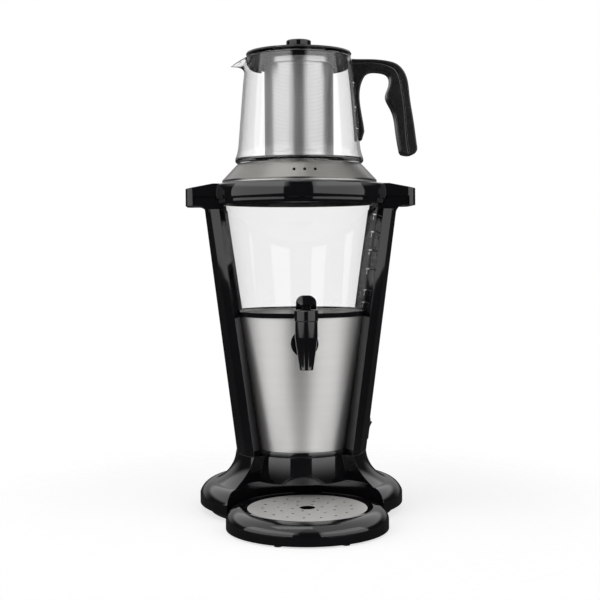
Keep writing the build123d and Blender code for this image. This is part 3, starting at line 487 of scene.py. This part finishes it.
def element_steel():
    """Sheathed heating element and its brazed clips, slightly tinted by heat."""
    finish = Finish("element_steel", (0.45, 0.43, 0.40), 0.45, 1.0)
    cloud = finish.noise(finish.place(), 90, 3)
    finish.set("Base Color", finish.blend(cloud, (0.36, 0.33, 0.30), (0.52, 0.50, 0.47)))
    finish.set("Roughness", finish.span(cloud, 0.35, 0.55))
    return finish.material


# %% [markdown]
# The infuser's wall is pierced with holes under a millimetre wide, too many to cut as mesh. They are laid
# out in the finish instead: the angle round the axis and the height make a staggered net of cells, and
# the middle of each cell is painted darker, as painted shade in place of a hole. Nothing is cut: the sheet
# itself stays closed.

# %% Pierced infuser sheet
HOLE_PITCH = 1.5 * MM
ROW_SHARE = 0.87
HOLE_SHARE = 0.24


def pierced_steel(radius, low, high):
    """Steel with a net of fine holes, drawn as painted shade, between two heights, for a wall of the given
    radius.
    """
    finish = Finish("pierced_steel", (0.90, 0.90, 0.89), 0.45, 1.0)
    x, y, z = finish.split(finish.place())
    cells = round(2 * math.pi * radius / HOLE_PITCH)
    column = finish.math("MULTIPLY", finish.math("ARCTAN2", y, x), cells / (2 * math.pi))
    row = finish.math("MULTIPLY", z, 1 / (HOLE_PITCH * ROW_SHARE))
    odd = finish.math("MODULO", finish.math("FLOOR", row), 2.0)
    across = finish.math("FRACT", finish.math("ADD", column, finish.math("MULTIPLY", odd, 0.5)))
    across = finish.math("SUBTRACT", across, 0.5)
    along = finish.math("SUBTRACT", finish.math("FRACT", row), 0.5)
    hole = finish.math("LESS_THAN", finish.length(across, along), HOLE_SHARE)
    zone = finish.math("MULTIPLY", finish.math("GREATER_THAN", z, low), finish.math("LESS_THAN", z, high))
    hole = finish.math("MULTIPLY", hole, zone)
    grain = finish.noise(finish.place((30, 30, 2400)), 1.0, 3)
    finish.set("Roughness", finish.span(grain, 0.38, 0.52))
    # Painted shade: the cells of the net take a darker colour in place of real holes.
    finish.set("Base Color", finish.blend(hole, (0.96, 0.96, 0.95), (0.45, 0.45, 0.45)))
    finish.relief(grain, 0.08, 0.00004)
    finish.brushed(0.8)
    return finish.material


# %% [markdown]
# ## Seals, terminal block and glass
# Clear glass bends what is seen through it. Its colour is painted darker where the eye looks along the
# wall, which draws the thin dark outline as painted shade; Layer Weight gives that share, the same from
# every side.

# %% Silicone, cream moulding, white print and glass
def pale_silicone():
    """Translucent white silicone of the seals."""
    finish = Finish("pale_silicone", (0.62, 0.62, 0.60), 0.5)
    grain = finish.noise(finish.place(), 300, 2)
    finish.set("Roughness", finish.span(grain, 0.4, 0.6))
    finish.set("Subsurface Weight", 0.15)
    finish.set("Subsurface Radius", (0.002, 0.002, 0.002))
    return finish.material


def cream_moulding():
    """Heat-proof cream plastic of the terminal block."""
    finish = Finish("cream_moulding", (0.72, 0.68, 0.58), 0.5)
    grain = finish.noise(finish.place(), 500, 2)
    finish.relief(grain, 0.2, 0.0001)
    finish.set("Roughness", finish.span(grain, 0.42, 0.6))
    return finish.material


def white_print():
    """Screen-printed marks: matt white ink with a slightly uneven coat."""
    finish = Finish("white_print", (0.90, 0.90, 0.90), 0.55)
    grain = finish.noise(finish.place(), 2500, 2)
    finish.set("Base Color", finish.blend(grain, (0.86, 0.86, 0.86), (0.94, 0.94, 0.94)))
    return finish.material


def clear_glass():
    """Clear heat-proof glass, painted darker where the eye looks along the wall: a painted dark outline."""
    finish = Finish("clear_glass", (1.0, 1.0, 1.0), 0.0)
    finish.set("Transmission Weight", 1.0)
    finish.set("IOR", 1.47)
    facing = finish.nodes.new("ShaderNodeLayerWeight")
    facing.inputs["Blend"].default_value = 0.5
    along = finish.span(facing.outputs["Facing"], 0, 1, 0.70, 0.97, soft=True)
    # Painted shade: the colour goes dark grey where the eye looks along the wall, drawing the outline.
    finish.set("Base Color", finish.blend(along, (0.99, 0.99, 0.99), (0.30, 0.32, 0.32)))
    smear = finish.noise(finish.place(), 25, 3)
    finish.set("Roughness", finish.span(smear, 0.0, 0.02))
    return finish.material


INFUSER_R = 0.0343
PLAIN_FOOT = 0.006
PLAIN_RIM = 0.012
infuser_low, infuser_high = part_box("infuser_basket")
FINISHES = {
    "black_gloss": polished_black(),
    "black_satin": satin_black(),
    "foot_rubber": rubber_black(),
    "silicone": pale_silicone(),
    "screw_steel": screw_steel(),
    "terminal_plastic": cream_moulding(),
    "element_metal": element_steel(),
    "clear_glass": clear_glass(),
    "brushed_steel": brushed_cone_steel(),
}
grip_finish = handle_black()
SPECIAL = {
    "steam_lid": spun_lid_steel(),
    "drip_grid": tray_plate_steel(),
    "pot_handle": grip_finish,
    "handle_cover": grip_finish,
    "infuser_basket": pierced_steel(INFUSER_R, infuser_low[2] + PLAIN_FOOT, infuser_high[2] - PLAIN_RIM),
}
print("finishes", len(FINISHES) + len(SPECIAL))

# %% [markdown]
# ## Dress the nodes
# The record names each node's slot. A node whose shape is right keeps its mesh and takes its slot's finish.

# %% Give every node its finish
slot_of = {row["node"]: row["material_slot"] for row in frame["record"]["subparts"]}
for name, node in frame["nodes"].items():
    finish = SPECIAL.get(name) or FINISHES[slot_of[name]]
    for slot in node.material_slots:
        slot.material = finish
    if not node.material_slots:
        node.data.materials.append(finish)
print("dressed", len(slot_of), "nodes")

# %% [markdown]
# ## Blown glass
# The solid glass is cut into flat facets, and facets show in glass as stripes. A turned mesh with many more
# steps bends light smoothly. The pot's spout was pulled from its hot rim, so here too it is the same wall
# pushed outwards and down, most at the rim and nothing a little below it.

# %% Helpers for turned shells
TURN_STEPS = 160


def eased(points, steps):
    """Smooth run through the points, with steps between each two."""
    run = []
    ends = [points[0], *points, points[-1]]
    for a, b, c, d in zip(ends, ends[1:], ends[2:], ends[3:]):
        for index in range(steps):
            t = index / steps
            weights = (-t + 2 * t**2 - t**3, 2 - 5 * t**2 + 3 * t**3, t + 4 * t**2 - 3 * t**3, t**3 - t**2)
            run.append(tuple(sum(w * p[k] for w, p in zip(weights, (a, b, c, d))) / 2 for k in (0, 1)))
    return run + [points[-1]]


def turned_piece(name, outline, push=None, closed=False):
    """Mesh of an outline of radius and height, in millimetres, turned about the axis."""
    shape = bmesh.new()
    rows = []
    for r, z in outline:
        if r == 0:
            rows.append([shape.verts.new((0, 0, z * MM))])
            continue
        row = []
        for index in range(TURN_STEPS):
            angle = 2 * math.pi * index / TURN_STEPS
            far, high = push(r, z, angle) if push else (r, z)
            row.append(shape.verts.new((far * math.cos(angle) * MM, far * math.sin(angle) * MM, high * MM)))
        rows.append(row)
    if closed:
        rows.append(rows[0])
    for first, second in zip(rows, rows[1:]):
        for index in range(TURN_STEPS):
            after = (index + 1) % TURN_STEPS
            corners = [first[index % len(first)], first[after % len(first)]]
            corners += [second[after % len(second)], second[index % len(second)]]
            unique = list(dict.fromkeys(corners))
            if len(unique) > 2:
                shape.faces.new(unique)
    bmesh.ops.recalc_face_normals(shape, faces=shape.faces)
    mesh = bpy.data.meshes.new(name)
    shape.to_mesh(mesh)
    shape.free()
    mesh.shade_smooth()
    piece = bpy.data.objects.new(name, mesh)
    scene.collection.objects.link(piece)
    return piece


# %% [markdown]
# The tank is a plain cone of glass with rounded rims. Its wall is one closed section, placed by the boxes
# of the solid glass and the steel below it, and turned about the axis. A few rings close to each rim keep
# the faces there short, because long ones spoil the smooth shading and bend what shows through.

# %% The water tank
tank_low, tank_high = [corner[2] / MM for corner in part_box("glass_tank")]
tank_top_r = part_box("glass_tank")[1][0] / MM
steel_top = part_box("steel_body")[1]
TANK_WALL = 2.5
RIM_ROUND = 0.6
RIM_RINGS = (0.6, 1.0, 1.5, 3)
slope = (tank_top_r - steel_top[0] / MM) / (tank_high - steel_top[2] / MM)


def tank_r(z):
    """Outer radius of the tank at a height, in millimetres."""
    return tank_top_r - slope * (tank_high - z)


def shell_outline(z_low, z_high, wall):
    """Closed section of the tank's wall with rounded rims."""
    low_r, high_r = tank_r(z_low), tank_r(z_high)
    heights = [z_low + step for step in RIM_RINGS] + [z_high - step for step in reversed(RIM_RINGS)]
    outline = [(tank_r(z), z) for z in heights]
    outline += [(high_r - RIM_ROUND, z_high), (high_r - wall + RIM_ROUND, z_high)]
    outline += [(tank_r(z) - wall, z) for z in reversed(heights)]
    return outline + [(low_r - wall + RIM_ROUND, z_low), (low_r - RIM_ROUND, z_low)]


tank = turned_piece("tank_glass", shell_outline(tank_low, tank_high, TANK_WALL), closed=True)
tank.data.materials.append(FINISHES["clear_glass"])
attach(tank, "root")
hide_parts("glass_tank")
print("tank", len(tank.data.vertices), "points")

# %% [markdown]
# The pot is blown: a round foot, a wall that leans in, and a mouth with a spout on the left. Its outline
# runs up the outside, over the rim and down the inside to a nearly flat floor. A smooth curve joins the
# few points of the side, which were set beside the photograph. Radius and height are in
# millimetres, and the height is counted from the foot.

# %% The teapot
POT_WALL = 2.2
SPOUT_REACH = 16.4
SPOUT_DROP = 10.0
SPOUT_DEPTH = 19.0
SPOUT_FLARE = 2.4
SPOUT_HALF = math.radians(25)
POT_SIDE = [(59.0, 0), (62.6, 1.6), (63.9, 5.0), (61.2, 14.5)]
POT_SIDE += [(59.6, 31), (56.5, 69), (54.8, 87), (51.9, 106.4)]
SIDE_STEPS = 10
POT_UNDERSIDE = [(0, 1.2), (40, 1.0), (56, 0)]
POT_FLOOR = [(57.0, 3.2), (40, 3.0), (0, 3.0)]
POT_RIM = (51.0, 50.3)
INSIDE_LOW = 4.5
pot_low, pot_high = [corner[2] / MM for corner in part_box("pot_glass")]


def pulled(r, z, angle):
    """The wall pushed out and down at the spout, which points to -X."""
    away = abs(math.pi - angle)
    if away > SPOUT_HALF or z < pot_high - SPOUT_DEPTH:
        return r, z
    share = math.cos(math.pi / 2 * away / SPOUT_HALF) ** 2
    height = (z - pot_high + SPOUT_DEPTH) / SPOUT_DEPTH
    return r + SPOUT_REACH * share * height**SPOUT_FLARE, z - SPOUT_DROP * share * height**2


def lifted(points):
    """Points moved from heights above the foot to heights above the table."""
    return [(r, pot_low + z) for r, z in points]


side = eased(POT_SIDE, SIDE_STEPS)
outside = lifted(POT_UNDERSIDE + side)
rim = [(r, pot_high) for r in POT_RIM]
inside = lifted((r - POT_WALL, z) for r, z in reversed(side) if z > INSIDE_LOW)
pot = turned_piece("pot_glass_blown", outside + rim + inside + lifted(POT_FLOOR), push=pulled)
pot.data.materials.append(FINISHES["clear_glass"])
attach(pot, "teapot")
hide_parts("pot_glass")
print("pot", len(pot.data.vertices), "points")

# %% [markdown]
# ## Level marks
# Short white lines with plain numbers are printed on the tank and the pot. Each mark is drawn flat, in
# millimetres, and then wrapped on the glass: across becomes an angle and up stays up. The print lies a
# hair outside the wall, so that the two surfaces don't fight.

# %% Marks on the glass
TANK_MARKS = (291.2, 274.4, 256.7, 238.3, 217.8, 205.7)
POT_MARKS = (421.5, 397.4, 376.3)
PRINT = white_print()
PRINT_LIFT = 0.06
PRINT_LINE = 1.1
PRINT_GAP = 0.4


def pot_r(z):
    """Outer radius of the pot at a height."""
    for (r1, z1), (r2, z2) in zip(side, side[1:]):
        if z1 <= z - pot_low <= z2 and z2 > z1:
            return r1 + (r2 - r1) * (z - pot_low - z1) / (z2 - z1)
    return side[-1][0]


def flat_number(text, size):
    """Outline of a number as flat corner points and faces."""
    curve = bpy.data.curves.new("number", "FONT")
    curve.body = text
    curve.size = size
    curve.resolution_u = 4
    holder = bpy.data.objects.new("number", curve)
    scene.collection.objects.link(holder)
    mesh = bpy.data.meshes.new_from_object(holder.evaluated_get(bpy.context.evaluated_depsgraph_get()))
    points = [(v.co.x, v.co.y) for v in mesh.vertices]
    faces = [tuple(p.vertices) for p in mesh.polygons]
    bpy.data.objects.remove(holder)
    return points, faces


def printed_scale(name, heights, radius_at, turn, line, size, body):
    """Lines and numbers wrapped on a round wall at a polar angle."""
    points, faces = [], []
    for index, z in enumerate(heights):
        half = PRINT_LINE / 2
        bar = [(0, -half), (line / 2, -half), (line, -half), (line, half), (line / 2, half), (0, half)]
        marks = [(bar, [(0, 1, 4, 5), (1, 2, 3, 4)])]
        number, sides = flat_number(str(len(heights) - index), size)
        marks.append(([(x + PRINT_GAP, y - size) for x, y in number], sides))
        for corners, ring in marks:
            start = len(points)
            for x, y in corners:
                r = radius_at(z + y) + PRINT_LIFT
                angle = turn + x / r
                points.append((r * math.cos(angle) * MM, r * math.sin(angle) * MM, (z + y) * MM))
            faces += [tuple(start + k for k in face) for face in ring]
    mesh = bpy.data.meshes.new(name)
    mesh.from_pydata(points, [], faces)
    mesh.materials.append(PRINT)
    piece = bpy.data.objects.new(name, mesh)
    scene.collection.objects.link(piece)
    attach(piece, body)
    return piece


tank_scale = printed_scale(
    "tank_scale", TANK_MARKS, tank_r, turn=math.radians(-31), line=8.0, size=5.0, body="root"
)
pot_scale = printed_scale(
    "pot_scale", POT_MARKS, pot_r, turn=math.radians(-22), line=7.0, size=4.4, body="teapot"
)
print("marks", len(tank_scale.data.polygons), len(pot_scale.data.polygons))
